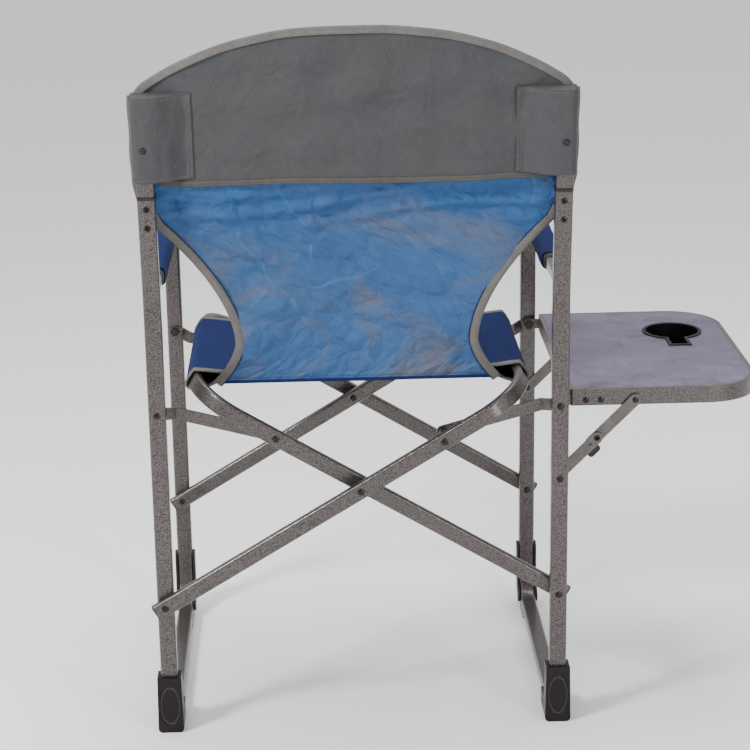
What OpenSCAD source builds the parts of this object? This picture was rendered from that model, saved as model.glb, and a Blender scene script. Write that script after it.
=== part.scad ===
// Folding director chair with a fold-down side table.
// The chair faces -Y and stands on z = 0. Its left side, as the sitter sees it, is +X and the
// table hangs on its right side, -X. Each cross frame is a U of flat tube: two arms and a seat rail.
// Cross frame P pivots low on the right side frame, Q low on the left one, and they cross at a
// centre pivot. Q is P turned half a turn about the vertical, and so are the links that go with it.

/* [Side frames] */
// Distance between the left and right leg centres
leg_spacing = 510; // [500:5:520]
// Distance between the front and rear leg centres
leg_depth = 400; // [396:1:406]
// Width of the side-frame tube across the chair
leg_w = 22; // [21:0.5:22]
// Thickness of the side-frame tube along the chair
leg_t = 16; // [15:0.5:16]
// Wall of every steel tube
wall = 1.2; // [1:0.1:1.5]
// Height of the armrest tube's centre
arm_z = 603; // [600:1:606]
// Height at which the rear leg bends back
lean_z = 589; // [585:1:592]
// Angle of the upper rear leg behind the vertical
lean = 7.1; // [5:0.1:8]
// Height of the collar between rear leg and back post
collar_z = 717; // [710:1:722]
// Bend radius at the front foot
foot_bend = 50; // [45:1:55]
// Bend radius at the front of the armrest
arm_bend = 45; // [40:1:50]

/* [Cross frames] */
// Height of the low pivots
low_z = 179; // [175:1:182]
// Angle of the arms above the floor when open
open_angle = 31; // [30:0.5:32]
// Angle of the arms above the floor when folded
folded_angle = 71; // [68:0.5:71]
// Width of the arm tube
arm_w = 21; // [20:0.5:21]
// Thickness of the arm tube
arm_t = 12; // [11:0.5:12]
// Distance from the centre pivot to the seat rail's centre
rail_reach = 245; // [240:1:245]
// Distance from the centre pivot to the stay link's rivet
stay_reach = 125; // [120:1:128]
// Bend radius between arm and seat rail
rail_bend = 66; // [60:1:66]
// Length of the arm beyond its low pivot
arm_tail = 13; // [12:0.5:14]

/* [Side table] */
// Length of the table across the chair
table_l = 250; // [244:1:252]
// Radius of the table's two outer corners
table_r = 72; // [70:1:80]
// Height of the table's rim
rim_h = 22; // [20:1:22]
// Inner radius of the cup holder
cup_r = 36.4; // [34:0.1:37]
// Depth of the cup holder
cup_depth = 60; // [50:1:62]

/* [Fabric] */
// Height of the back's lower hem at the posts
hem_z = 738; // [735:1:741]
// Height of the seat's rear edge
seat_rear_z = 457; // [455:1:459]
// Height of the arched top above its corners
arch_rise = 76; // [70:1:82]
// Sag of the seat at its middle
seat_sag = 16; // [12:1:18]

/* [Hidden] */
$fn = 64;
half = leg_spacing / 2;
rear_y = leg_depth / 2;
leg_face = rear_y - leg_t / 2;
gap = 0.4;
fit_gap = 0.05;
corner_r = 3.5;
black = "#26211f";
steel = "#77706a";
rivet_colour = "#5a534d";
navy = "#243a7c";
lining = "#4777a8";
canvas = "#6a6b6b";
taupe = "#8d8781";

// Floor rail, foot and armrest
sole = 3;
rail_z = sole + leg_t / 2;
floor_rail_end = rear_y - 17;
shoe_w = 29;
shoe_up = 24;
shoe_foot = 20;
shoe_turn = 58;
shoe_inside = leg_t / 2 + 1;
shoe_outside = leg_t / 2 + sole;
boot_h = 78;
boot_floor = 12;
boot_top_w = 31;
boot_base_w = 33.5;
boot_round = 6;
boot_rear = 5;
boot_front = 4;
boot_socket = 38;
boot_socket_h = 22;
boot_oval_z = 38;
boot_oval_r = 12.5;
boot_oval_half_h = 27;
boot_oval_t = 1;
foam_w = 26;
foam_h = 20;
foam_corner = 7;
foam_rear_y = [128, 168];
sleeve_w = 28.6;
sleeve_h = 23;
sleeve_rear_y = [112, 152];
arm_front_y = -rear_y + arm_bend + 3;
arm_end_y = leg_face + 0.9;
lean_r = 200;
bend_lap = 0.5;
bend_swell = 0.04;
collar_h = (collar_z - lean_z) / cos(lean);
collar_t = 4;
spigot = 60;
post_w = leg_w - 0.6;
post_t = leg_t - 0.6;
post_top = (843 - lean_z) / cos(lean);
post_rivet_heights = [collar_h - 12, collar_h - 36];
cap_t = 2;
cap_depth = 8;
sleeve_screw_h = 193;
sleeve_screw_r = 1.5;

// Cross frames: the inner arm lies inside a pair of legs, the outer arm outside it
arm_len = half / cos(open_angle);
centre_z = low_z + arm_len * sin(open_angle);
inner_arm_y = leg_face - gap - arm_t / 2;
outer_arm_y = inner_arm_y - leg_depth;
rail_x = rail_reach * cos(open_angle);
rail_centre_z = centre_z + rail_reach * sin(open_angle);
plug_t = 1.5;
plug_depth = 5;

// Fasteners
rivet_r = 3;
head_r = 4.7;
head_t = 1.6;
small_head_r = 4.2;
hollow_r = 1.7;
spacer_r = 6;
bolt_r = 4;
nut_r = 6.6;
nut_t = 4.4;
nut_slack = 0.3;
thread_end = 0.6;

// Stay links: the pivot height makes the link fit both the open and the folded chair
stay_z = low_z + 2 * arm_len * stay_reach * (sin(open_angle) + sin(folded_angle)) / (arm_len + stay_reach);
stay_dx = (arm_len - stay_reach) * cos(open_angle);
stay_dz = low_z + (arm_len + stay_reach) * sin(open_angle) - stay_z;
stay_len = norm([stay_dx, stay_dz]);
stay_angle = atan2(stay_dz, stay_dx);
stay_w = 16;
stay_t = 2.8;
stay_y = leg_face - gap;
stay_y_in = inner_arm_y - arm_t / 2 - gap;
joggle_from = 12;
joggle_to = 23;

// Table: u runs out from the hinge axis, which is the stay links' pivot axis on the right side
table_u = 14;
table_z = stay_z + 15;
rim_t = 1.4;
lip_w = 5;
lip_t = 0.6;
flange_w = 7;
flange_t = 1.2;
panel_t = 3;
panel_gap = 0.3;
strap_t = 2.6;
strap_w = 16;
strap_low = 5.6;
strap_len = 64;
strap_rivets = [35, 54];
strap_head_t = 1.2;
cup_u = 189;
cup_y = -76;
cup_wall = 1.4;
cup_lip = 4.5;
cup_lip_t = 2.2;
slot_w = 22;
slot_reach = 68;

// Table brace: equal links, with the table's pivot as far out as the leg's pivot is down
brace_d = 98;
brace_len = brace_d * sin(45);
brace_w = 15;
brace_t = 1.8;
brace_tail = 10;
brace_r = 2.5;
brace_head_r = 4;
brace_head_t = 1.1;
brace_washer_r = 4.5;
lower_y = leg_face - gap;
upper_y = lower_y - brace_t - gap - brace_head_t + 0.1;
table_half = upper_y - brace_t - gap - strap_head_t;
strap_y = table_half - rim_t;
knob_back = 20;
knob_len = 10;
knob_drop = 10;
knob_r = 4.5;
brace_hole_back = 12;
brace_hole_r = 1.5;

// Fabric
cloth = 3;
seat_half_y = 130;
hem_y = rear_y + (hem_z - lean_z) * tan(lean) - 12;
slope_y = hem_y - seat_half_y - 4;
slope = atan2(slope_y, hem_z - seat_rear_z);
waist_z = 513;
waist_half = 154;
top_half_w = 246;
top_z = 676;
bottom_half_w = 184;
back_half_w = 268;
flap_w = 72;
flap_t = 3;
pocket_wall = 1.5;
pocket_front = 1;
corner_h = (847 - lean_z) / cos(lean);
hem_h = (hem_z - lean_z) / cos(lean);
rail_rear_y = inner_arm_y - rail_bend - 1;
rail_front_y = -seat_half_y;
rail_cover = 5;
sling_half = rail_x - 15;
sling_edge_z = rail_centre_z + 12;

// Place of the chair's middle in the part's own frame: the origin is under the middle of the box
tail_x = (arm_tail + plug_t) * cos(open_angle) + arm_w / 2 * sin(open_angle);
front_extent = -outer_arm_y + arm_t / 2 + 0.2 + head_t;
rear_extent = rear_y + (post_t / 2 + pocket_front + flap_t) * cos(lean) + corner_h * sin(lean);
row_x = (table_u + table_l - tail_x) / 2;
row_y = (front_extent - rear_extent) / 2;

// ---- Shared shapes ----

// Puts what is drawn about the chair's middle into the part's own frame
module place() {
    translate([row_x, row_y, 0]) children();
}

// Half a turn about the vertical, which turns every P piece into its Q piece
module half_turn() {
    rotate([0, 0, 180]) children();
}

module rounded_rect(w, h, r) {
    square([w - 2 * r, h], center = true);
    square([w, h - 2 * r], center = true);
    for (x = [-1, 1], y = [-1, 1])
        translate([x * (w / 2 - r), y * (h / 2 - r)]) circle(r);
}

module tube_section(w, h, thickness = wall) {
    difference() {
        rounded_rect(w, h, corner_r);
        rounded_rect(w - 2 * thickness, h - 2 * thickness, corner_r - thickness);
    }
}

// Runs a section along straights and bends in one plane: each step is [straight, bend angle, radius].
// It starts up the local Z axis, and a bend turns it towards local +X. The first child is the
// section of the straights, the second that of the bends; lap is how far a straight enters a bend.
module tube_run(steps, lap = 0, i = 0) {
    straight = steps[i][0];
    bend = steps[i][1];
    radius = steps[i][2];
    start = i > 0 ? -lap : 0;
    end = bend > 0 ? straight + lap : straight;
    translate([0, 0, start]) linear_extrude(end - start) children(0);
    if (bend > 0) {
        translate([0, 0, straight]) {
            translate([radius, 0, 0])
                rotate([90, 0, 180])
                    rotate_extrude(angle = bend, $fn = 96) translate([radius, 0]) children(1);
            translate([radius * (1 - cos(bend)), 0, radius * sin(bend)])
                rotate([0, bend, 0])
                    tube_run(steps, lap, i + 1) {
                        children(0);
                        children(1);
                    }
        }
    }
}

// A tube of one section throughout
module even_run(steps) {
    tube_run(steps) {
        children();
        children();
    }
}

// A cylinder along Y from y0 to y1
module rod_y(x, z, y0, y1, r) {
    translate([x, y1, z]) rotate([90, 0, 0]) cylinder(r = r, h = y1 - y0);
}

// A low domed head on the plane y, standing out towards +Y (dir 1) or -Y (dir -1)
module head_y(x, z, y, dir, r = head_r, t = head_t) {
    dome_r = (r * r + t * t) / (2 * t);
    translate([x, y, z])
        rotate([-90 * dir, 0, 0])
            intersection() {
                translate([0, 0, t - dome_r]) sphere(dome_r);
                cylinder(r = 2 * r, h = 2 * t);
            }
}

// A rivet along Y that holds what lies between y0 and y1
module rivet_y(x, z, y0, y1, r = rivet_r, hr = head_r, ht = head_t) {
    rod_y(x, z, y0, y1, r);
    head_y(x, z, y0, -1, hr, ht);
    head_y(x, z, y1, 1, hr, ht);
}

// The frame of the leaning upper rear leg: its Z axis runs up the leg and Y is the leg's rear side
module leaning(side) {
    translate([side * half, rear_y, lean_z]) rotate([-lean, 0, 0]) children();
}

// ---- Side frames: side is -1 for the right one and 1 for the left one ----

module front_tube_path(side) {
    translate([side * half, arm_end_y, arm_z])
        rotate([90, 90, 0])
            even_run([[arm_end_y + rear_y - arm_bend, 90, arm_bend],
                      [arm_z - arm_bend - foot_bend - rail_z, 90, foot_bend],
                      [floor_rail_end + rear_y - foot_bend, 0, 0]]) children();
}

module front_tube(side) place() color(steel) {
    difference() {
        front_tube_path(side) tube_section(leg_t, leg_w);
        side_holes(side, -1);
    }
}

// Holes through the legs: end is 1 for the rear legs and -1 for the front legs
module side_holes(side, end) {
    y0 = end > 0 ? rear_y - leg_t : -rear_y - leg_t;
    y1 = end > 0 ? rear_y + leg_t : -rear_y + leg_t;
    rod_y(side * half, low_z, y0, y1, rivet_r + fit_gap);
    rod_y(side * half, stay_z, y0, y1, bolt_r + fit_gap);
    if (side < 0)
        rod_y(side * half, stay_z - brace_d, y0, y1, brace_r + fit_gap);
}

module rear_leg(side) place() color(steel) {
    tangent = lean_r * tan(lean / 2);
    foot_z = boot_floor + 0.2;
    difference() {
        translate([side * half, rear_y, foot_z])
            rotate([0, 0, 90])
                tube_run([[lean_z - tangent - foot_z, lean, lean_r], [collar_h - tangent, 0, 0]], bend_lap) {
                    tube_section(leg_t, leg_w);
                    // The bend is a little fuller than the straights
                    tube_section(leg_t + bend_swell, leg_w + bend_swell, wall + bend_swell);
                }
        side_holes(side, 1);
        leaning(side)
            for (h = post_rivet_heights) rod_y(0, h, -leg_t, leg_t, rivet_r + fit_gap);
    }
}

module back_post(side) place() color(steel) leaning(side) {
    difference() {
        union() {
            translate([0, 0, collar_h + collar_t])
                linear_extrude(post_top - collar_h - collar_t)
                    rotate(90) tube_section(post_t, post_w);
            translate([0, 0, collar_h - spigot])
                linear_extrude(spigot + collar_t)
                    rotate(90) tube_section(leg_t - 2 * wall - 0.2, leg_w - 2 * wall - 0.2);
        }
        for (h = post_rivet_heights) rod_y(0, h, -leg_t, leg_t, rivet_r + fit_gap);
        rod_y(0, sleeve_screw_h, 0, leg_t, sleeve_screw_r + fit_gap);
    }
}

module post_collar(side) place() color(black) leaning(side) {
    translate([0, 0, collar_h])
        linear_extrude(collar_t)
            difference() {
                rounded_rect(leg_w + 0.8, leg_t + 0.8, corner_r);
                rounded_rect(leg_w - 2 * wall, leg_t - 2 * wall, corner_r - wall);
            }
}

module post_cap(side) place() color(black) leaning(side) {
    translate([0, 0, post_top]) linear_extrude(cap_t) rounded_rect(post_w, post_t, corner_r);
    translate([0, 0, post_top - cap_depth])
        linear_extrude(cap_depth)
            rounded_rect(post_w - 2 * wall - 0.2, post_t - 2 * wall - 0.2, corner_r - wall);
}

// Side view of what follows the foot bend, from `inside` of the tube's centre line to `outside` of it
module foot_profile(inside, outside, more = 0) {
    translate([-rear_y + foot_bend, rail_z + foot_bend])
        intersection() {
            difference() {
                circle(foot_bend + outside);
                circle(foot_bend - inside);
            }
            translate([-2 * foot_bend, -2 * foot_bend]) square(2 * foot_bend);
        }
    translate([-rear_y - outside, rail_z + foot_bend]) square([outside + inside, shoe_up + more]);
    translate([-rear_y + foot_bend, rail_z - outside]) square([shoe_foot + more, outside + inside]);
}

// Side view of a cheek: it follows the foot bend for shoe_turn degrees between round ends
module cheek_profile() {
    end_r = (shoe_inside + shoe_outside) / 2;
    end_off = (shoe_outside - shoe_inside) / 2;
    reach = 2 * foot_bend;
    translate([-rear_y + foot_bend, rail_z + foot_bend]) {
        intersection() {
            difference() {
                circle(foot_bend + shoe_outside);
                circle(foot_bend - shoe_inside);
            }
            rotate(180) polygon([[0, 0], [reach, 0], [reach, reach * tan(shoe_turn)]]);
        }
        rotate(180 + shoe_turn) translate([foot_bend + end_off, 0]) circle(end_r);
        translate([-foot_bend - end_off, shoe_up]) circle(end_r);
        translate([-foot_bend - shoe_outside, 0]) square([shoe_outside + shoe_inside, shoe_up]);
    }
}

// Corner shoe: a sole round the outside of the foot bend and a cheek on either side of it
module front_shoe(side) place() color(black) {
    slot_w_shoe = leg_w + 0.2;
    difference() {
        union() {
            translate([side * half - shoe_w / 2, 0, 0])
                rotate([90, 0, 90]) linear_extrude(shoe_w) cheek_profile();
            translate([side * half - leg_w / 2, 0, 0])
                rotate([90, 0, 90]) linear_extrude(leg_w) foot_profile(0, shoe_outside);
        }
        front_tube_path(side) rounded_rect(leg_t + 0.2, slot_w_shoe, corner_r);
        // Open towards the inside of the bend
        translate([side * half - slot_w_shoe / 2, 0, 0])
            rotate([90, 0, 90])
                linear_extrude(slot_w_shoe) foot_profile(shoe_inside + 1, corner_r - leg_t / 2, 4 * sole);
    }
}

// Boot under the rear leg: it also takes the rear end of the floor rail
module rear_boot(side) place() color(black) {
    back_y = rear_y + leg_t / 2 + boot_rear;
    front_y = rear_y - leg_t / 2 - boot_front;
    base = boot_base_w / 2;
    top = boot_top_w / 2;
    difference() {
        union() {
            translate([side * half, back_y, 0])
                rotate([90, 0, 0])
                    linear_extrude(back_y - front_y)
                        boot_face(base, top);
            translate([side * half - top, front_y - boot_socket, 0])
                cube([2 * top, boot_socket, boot_socket_h]);
        }
        // Oval hollow in the rear face
        translate([side * half, back_y + 1, boot_oval_z])
            rotate([90, 0, 0])
                linear_extrude(1 + boot_oval_t) oval(boot_oval_r, boot_oval_half_h);
        translate([side * half, rear_y, boot_floor])
            linear_extrude(boot_h) rounded_rect(leg_w + 0.2, leg_t + 0.2, corner_r);
        translate([side * half, floor_rail_end + 0.3, rail_z])
            rotate([90, 0, 0])
                linear_extrude(2 * boot_socket) rounded_rect(leg_w + 0.2, leg_t + 0.2, corner_r);
    }
}

// Rear view of the boot, with its two lower corners rounded
module boot_face(base, top) {
    polygon([[boot_round - base, 0], [base - boot_round, 0], [base, boot_round],
             [top, boot_h], [-top, boot_h], [-base, boot_round]]);
    for (s = [-1, 1]) translate([s * (base - boot_round), boot_round]) circle(boot_round);
}

// An upright slot shape with round ends
module oval(r, half_h) {
    square([2 * r, 2 * (half_h - r)], center = true);
    for (s = [-1, 1]) translate([0, s * (half_h - r)]) circle(r);
}

// What wraps the armrest tube from y0 to y1, outside and inside sizes given as [width, height, corner]
module arm_wrap(side, y0, y1, outer, inner) {
    translate([side * half, y1, arm_z])
        rotate([90, 0, 0])
            linear_extrude(y1 - y0)
                difference() {
                    rounded_rect(outer[0], outer[1], outer[2]);
                    rounded_rect(inner[0], inner[1], inner[2]);
                }
}

// The right pad has slid forward along its tube, so it ends further from the rear leg than the left one
module arm_foam(side) place() color(black)
    arm_wrap(side, arm_front_y, foam_rear_y[side > 0 ? 1 : 0], [foam_w, foam_h, foam_corner],
             [leg_w + 0.2, leg_t + 0.2, corner_r]);

module arm_sleeve(side) place() color(navy)
    arm_wrap(side, arm_front_y + 1, sleeve_rear_y[side > 0 ? 1 : 0], [sleeve_w, sleeve_h, foam_corner],
             [foam_w + 0.2, foam_h + 0.2, foam_corner - 1]);

// Low pivots, post rivets and, on the right side, the brace pivots
module side_rivets(side) place() color(rivet_colour) {
    // The rear right and front left arms are the inner ones of their frames
    inner_end = side < 0 ? 1 : -1;
    inner_y = inner_arm_y - arm_t / 2;
    outer_y = -outer_arm_y + arm_t / 2;
    mirror_y(inner_end) rivet_y(side * half, low_z, inner_y - 0.2, rear_y + leg_t / 2);
    mirror_y(-inner_end) rivet_y(side * half, low_z, leg_face, outer_y + 0.2);
    // Hollow rivets in the post
    leaning(side)
        for (h = post_rivet_heights)
            difference() {
                rivet_y(0, h, -leg_t / 2, leg_t / 2, rivet_r, small_head_r, 1);
                rod_y(0, h, leg_t / 2 - 2, leg_t / 2 + 2, hollow_r);
            }
    if (side < 0)
        for (end = [-1, 1])
            mirror_y(end) {
                tip = lower_y - brace_t - 0.1;
                rod_y(side * half, stay_z - brace_d, tip, rear_y + leg_t / 2, brace_r);
                head_y(side * half, stay_z - brace_d, rear_y + leg_t / 2, 1);
                head_y(side * half, stay_z - brace_d, tip, -1, brace_head_r, brace_head_t);
            }
}

// Draws as it is for end = 1, and mirrored front to back for end = -1
module mirror_y(end) {
    mirror([0, end > 0 ? 0 : 1, 0]) children();
}

// Where the nut of a stay bolt begins: behind the table's strap on the right side
function nut_face(side) = (side < 0 ? strap_y - strap_t : stay_y - stay_t) - nut_slack;

// Bolts of the stay links: on the right side they are also the table's hinge pins
module stay_bolts(side) place() color(rivet_colour) {
    tip = nut_face(side) - nut_t - thread_end;
    for (end = [-1, 1])
        mirror_y(end) {
            rod_y(side * half, stay_z, tip, rear_y + leg_t / 2, bolt_r);
            head_y(side * half, stay_z, rear_y + leg_t / 2, 1);
        }
}

// Nuts of those bolts, and on the right side the spacers between link and table strap
module stay_nuts(side) place() color(rivet_colour) {
    nut_y = nut_face(side);
    for (end = [-1, 1])
        mirror_y(end) {
            difference() {
                translate([side * half, nut_y, stay_z])
                    rotate([90, 0, 0]) cylinder(r = nut_r, h = nut_t, $fn = 6);
                rod_y(side * half, stay_z, nut_y - 6, nut_y + 1, bolt_r + 0.01);
            }
            if (side < 0)
                difference() {
                    rod_y(side * half, stay_z, strap_y + 0.2, stay_y - stay_t - 0.2, spacer_r);
                    rod_y(side * half, stay_z, strap_y - 1, stay_y, bolt_r + 0.01);
                }
        }
}

// ---- Cross frames, drawn as P ----

// Frame of P's arm: the origin is its low pivot and X runs up the arm
module on_arm() {
    translate([-half, 0, low_z]) rotate([0, -open_angle, 0]) children();
}

module cross_tube() {
    on_arm()
        difference() {
            translate([-arm_tail, inner_arm_y, 0])
                rotate([0, 90, 0]) rotate([0, 0, -90])
                    even_run([[arm_tail + arm_len + rail_reach - rail_bend, 90, rail_bend],
                              [leg_depth - 2 * rail_bend, 90, rail_bend],
                              [arm_tail + arm_len + rail_reach - rail_bend, 0, 0]])
                        tube_section(arm_t, arm_w);
            for (s = [0, arm_len, arm_len + stay_reach])
                rod_y(s, 0, -leg_depth, leg_depth, rivet_r + fit_gap);
        }
}

module cross_plugs() {
    on_arm()
        for (y = [inner_arm_y, outer_arm_y])
            translate([-arm_tail, y, 0]) rotate([90, 0, 90]) {
                translate([0, 0, -plug_t]) linear_extrude(plug_t) rounded_rect(arm_t, arm_w, corner_r);
                linear_extrude(plug_depth)
                    rounded_rect(arm_t - 2 * wall - 0.2, arm_w - 2 * wall - 0.2, corner_r - wall);
            }
}

// Centre pivots, which P carries, and the stay links' rivets
module cross_rivets(with_centre) {
    inner = inner_arm_y - arm_t / 2;
    outer = outer_arm_y - arm_t / 2;
    on_arm() {
        if (with_centre) {
            rivet_y(arm_len, 0, inner, -outer + 0.2);
            rivet_y(arm_len, 0, outer, -inner + 0.2);
        }
        // Beside the inner arm the link lies against it, so its rivet ends flush there
        rod_y(arm_len + stay_reach, 0, inner, inner + arm_t, rivet_r);
        head_y(arm_len + stay_reach, 0, inner + arm_t, 1);
        // The outer arm's rivet runs in through the spacer to the link
        rod_y(arm_len + stay_reach, 0, outer, -inner, rivet_r);
        head_y(arm_len + stay_reach, 0, outer, -1);
    }
}

module cross_spacers(with_centre) {
    inner = inner_arm_y - arm_t / 2;
    outer = outer_arm_y - arm_t / 2;
    on_arm() {
        if (with_centre)
            for (end = [-1, 1])
                mirror_y(end) ring_y(arm_len, inner + arm_t + 0.1, -outer - arm_t - 0.1);
        ring_y(arm_len + stay_reach, outer + arm_t, -inner);
    }
}

module ring_y(x, y0, y1) {
    difference() {
        rod_y(x, 0, y0, y1, spacer_r);
        rod_y(x, 0, y0 - 1, y1 + 1, rivet_r + 0.01);
    }
}

// ---- Stay links: drawn for the rear right corner, where the link meets Q's outer arm ----

module stay_link() {
    translate([-half, 0, stay_z])
        rotate([0, -stay_angle, 0]) {
            difference() {
                intersection() {
                    translate([0, 0, -stay_w / 2])
                        linear_extrude(stay_w)
                            polygon([[-stay_w, stay_y], [joggle_from, stay_y], [joggle_to, stay_y_in],
                                     [stay_len + stay_w, stay_y_in], [stay_len + stay_w, stay_y_in - stay_t],
                                     [joggle_to - 2, stay_y_in - stay_t], [joggle_from - 2, stay_y - stay_t],
                                     [-stay_w, stay_y - stay_t]]);
                    translate([0, rear_y, 0]) rotate([90, 0, 0]) linear_extrude(60) {
                        translate([0, -stay_w / 2]) square([stay_len, stay_w]);
                        circle(d = stay_w);
                        translate([stay_len, 0]) circle(d = stay_w);
                    }
                }
                rod_y(0, 0, 0, leg_depth, bolt_r + fit_gap);
                rod_y(stay_len, 0, 0, leg_depth, rivet_r + fit_gap);
            }
            rod_y(stay_len, 0, stay_y_in - stay_t, stay_y_in, rivet_r);
            head_y(stay_len, 0, stay_y_in - stay_t, -1);
        }
}

// ---- Side table ----

module table_outline(inset) {
    w = table_l - 2 * inset;
    h = 2 * (table_half - inset);
    r = table_r - inset;
    square_r = 5 - inset / 2;
    translate([-half - table_u - inset, -table_half + inset]) mirror([1, 0]) {
        translate([0, square_r]) square([w - r, h - 2 * square_r]);
        translate([square_r, 0]) square([w - r - square_r, h]);
        translate([0, r]) square([w, h - 2 * r]);
        for (y = [square_r, h - square_r]) translate([square_r, y]) circle(square_r);
        for (y = [r, h - r]) translate([w - r, y]) circle(r);
    }
}

module table_rim() place() color(steel) {
    base = table_z - rim_h;
    difference() {
        union() {
            translate([0, 0, base]) linear_extrude(rim_h) difference() {
                table_outline(0);
                table_outline(rim_t);
            }
            translate([0, 0, table_z - lip_t]) linear_extrude(lip_t) difference() {
                table_outline(rim_t);
                table_outline(lip_w);
            }
            translate([0, 0, base]) linear_extrude(flange_t) difference() {
                table_outline(rim_t);
                table_outline(flange_w);
            }
        }
        for (end = [-1, 1])
            mirror_y(end) {
                // Slot for the hinge strap
                translate([-half - table_u - lip_w - 4, strap_y - strap_t - 0.3, stay_z - strap_w / 2 - 0.3])
                    cube([lip_w + 8, strap_t + 0.3, strap_w + 0.6]);
                for (u = strap_rivets)
                    rod_y(-half - u, stay_z, strap_y - 5, table_half + 1, rivet_r + fit_gap);
                rod_y(-half - brace_d, stay_z, strap_y - 5, table_half + 1, brace_r + fit_gap);
            }
    }
}

// The board reaches under the rim's lip, and its raised middle is flush with the rim
module table_panel() place() color("#8f889c") {
    translate([0, 0, table_z - lip_t - panel_t])
        linear_extrude(panel_t)
            difference() {
                table_outline(rim_t + 0.1);
                cup_outline(cup_wall + panel_gap);
            }
    translate([0, 0, table_z - lip_t])
        linear_extrude(lip_t)
            difference() {
                table_outline(lip_w + panel_gap);
                cup_outline(cup_lip + panel_gap);
            }
}

// The cup bore with the slot for a mug's handle, grown by a margin
module cup_outline(margin) {
    translate([-half - cup_u, cup_y]) {
        circle(cup_r + margin, $fn = 96);
        translate([-slot_w / 2 - margin, 0]) square([slot_w + 2 * margin, slot_reach + margin]);
    }
}

module table_hinge_straps() place() color(steel)
    for (end = [-1, 1])
        mirror_y(end)
            translate([-half, strap_y, stay_z])
                rotate([90, 0, 0])
                    linear_extrude(strap_t)
                        difference() {
                            union() {
                                circle(d = strap_w);
                                translate([-strap_len, -strap_low])
                                    square([strap_len, strap_low + strap_w / 2]);
                            }
                            circle(bolt_r + fit_gap);
                            for (u = strap_rivets) translate([-u, 0]) circle(rivet_r + fit_gap);
                        }

module table_rivets() place() color(rivet_colour)
    for (end = [-1, 1])
        mirror_y(end) {
            for (u = strap_rivets)
                rivet_y(-half - u, stay_z, strap_y - strap_t, table_half, rivet_r, small_head_r,
                        strap_head_t);
            rivet_y(-half - brace_d, stay_z, strap_y, upper_y + 0.1, brace_r, brace_head_r, brace_head_t);
            rod_y(-half - brace_d, stay_z, table_half, upper_y - brace_t - 0.2, brace_washer_r);
        }

module cup_holder() place() color(black)
    difference() {
        union() {
            translate([0, 0, table_z - cup_depth - cup_wall])
                linear_extrude(cup_depth + cup_wall) cup_outline(cup_wall);
            translate([0, 0, table_z - lip_t]) linear_extrude(cup_lip_t) cup_outline(cup_lip);
        }
        translate([0, 0, table_z - cup_depth]) linear_extrude(cup_depth + cup_lip_t) cup_outline(0);
    }

// A flat brace link along X from its pivot at the origin, lying from y - brace_t to y
module brace_bar(y, tail, hole_r = 0) {
    translate([0, y, 0])
        rotate([90, 0, 0])
            linear_extrude(brace_t)
                difference() {
                    union() {
                        circle(d = brace_w);
                        translate([0, -brace_w / 2]) square([brace_len + tail, brace_w]);
                        translate([brace_len + tail, 0]) circle(d = brace_w);
                    }
                    circle(brace_r + fit_gap);
                    translate([brace_len, 0]) circle(brace_r + fit_gap);
                    if (hole_r > 0) translate([brace_len - brace_hole_back, 0]) circle(hole_r);
                }
}

// Both links lie on the line between the leg's pivot and the table's pivot, at 45 degrees
module brace_lower(end) place() color(steel)
    mirror_y(end) on_lower_brace() brace_bar(lower_y, 0, brace_hole_r);

module on_lower_brace() {
    translate([-half, 0, stay_z - brace_d]) rotate([0, 45, 0]) mirror([1, 0, 0]) children();
}

module brace_upper(end) place() color(steel)
    mirror_y(end)
        translate([-half - brace_d, 0, stay_z])
            rotate([0, 45, 0]) {
                brace_bar(upper_y, brace_tail);
                rod_y(brace_len, 0, upper_y - brace_t, upper_y + 0.1, brace_r);
                head_y(brace_len, 0, upper_y + 0.1, 1, brace_head_r, brace_head_t);
            }

// Release knob under the outer edge of the lower link, as thin as the room beside the folded links
module brace_tab(end) place() color(black)
    mirror_y(end)
        on_lower_brace()
            difference() {
                knob_front = upper_y + gap;
                translate([brace_len - knob_back, lower_y, -knob_drop])
                    rotate([90, 0, 0])
                        linear_extrude(lower_y - knob_front) {
                            for (x = [0, knob_len]) translate([x, 0]) circle(knob_r);
                            translate([0, -knob_r]) square([knob_len, 2 * knob_r]);
                        }
                translate([0, lower_y - brace_t - 0.1, -brace_w / 2 - 0.1])
                    cube([brace_len, brace_t + 1, brace_w]);
            }

// ---- Fabric, as plain closed solids ----

// Sleeve round P's seat rail: a snug outline with the rail's tilt
module seat_sleeve() {
    on_arm()
        translate([arm_len + rail_reach, rail_rear_y, 0])
            rotate([90, 0, 0])
                linear_extrude(rail_rear_y - rail_front_y)
                    difference() {
                        rounded_rect(arm_t + rail_cover, arm_w + rail_cover, corner_r + 1.5);
                        rounded_rect(arm_t + 0.2, arm_w + 0.2, corner_r);
                    }
}

module seat_sling() place() color(navy) {
    steps = 24;
    top = [for (i = [0:steps]) let (t = 2 * i / steps - 1)
        [sling_half * t, sling_edge_z - seat_sag * (1 - t * t)]];
    bottom = [for (i = [steps:-1:0]) top[i] - [0, cloth]];
    translate([0, seat_half_y, 0])
        rotate([90, 0, 0]) linear_extrude(2 * seat_half_y) polygon(concat(top, bottom));
}

// Half width of the blue back panel at a height: straight at the posts, then a waist, then the seat
function panel_half(z) =
    z >= top_z ? top_half_w :
    z >= waist_z ? waist_half + (top_half_w - waist_half) * pow((z - waist_z) / (top_z - waist_z), 2) :
    waist_half + (bottom_half_w - waist_half) * pow((waist_z - z) / (waist_z - seat_rear_z), 2);

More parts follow.
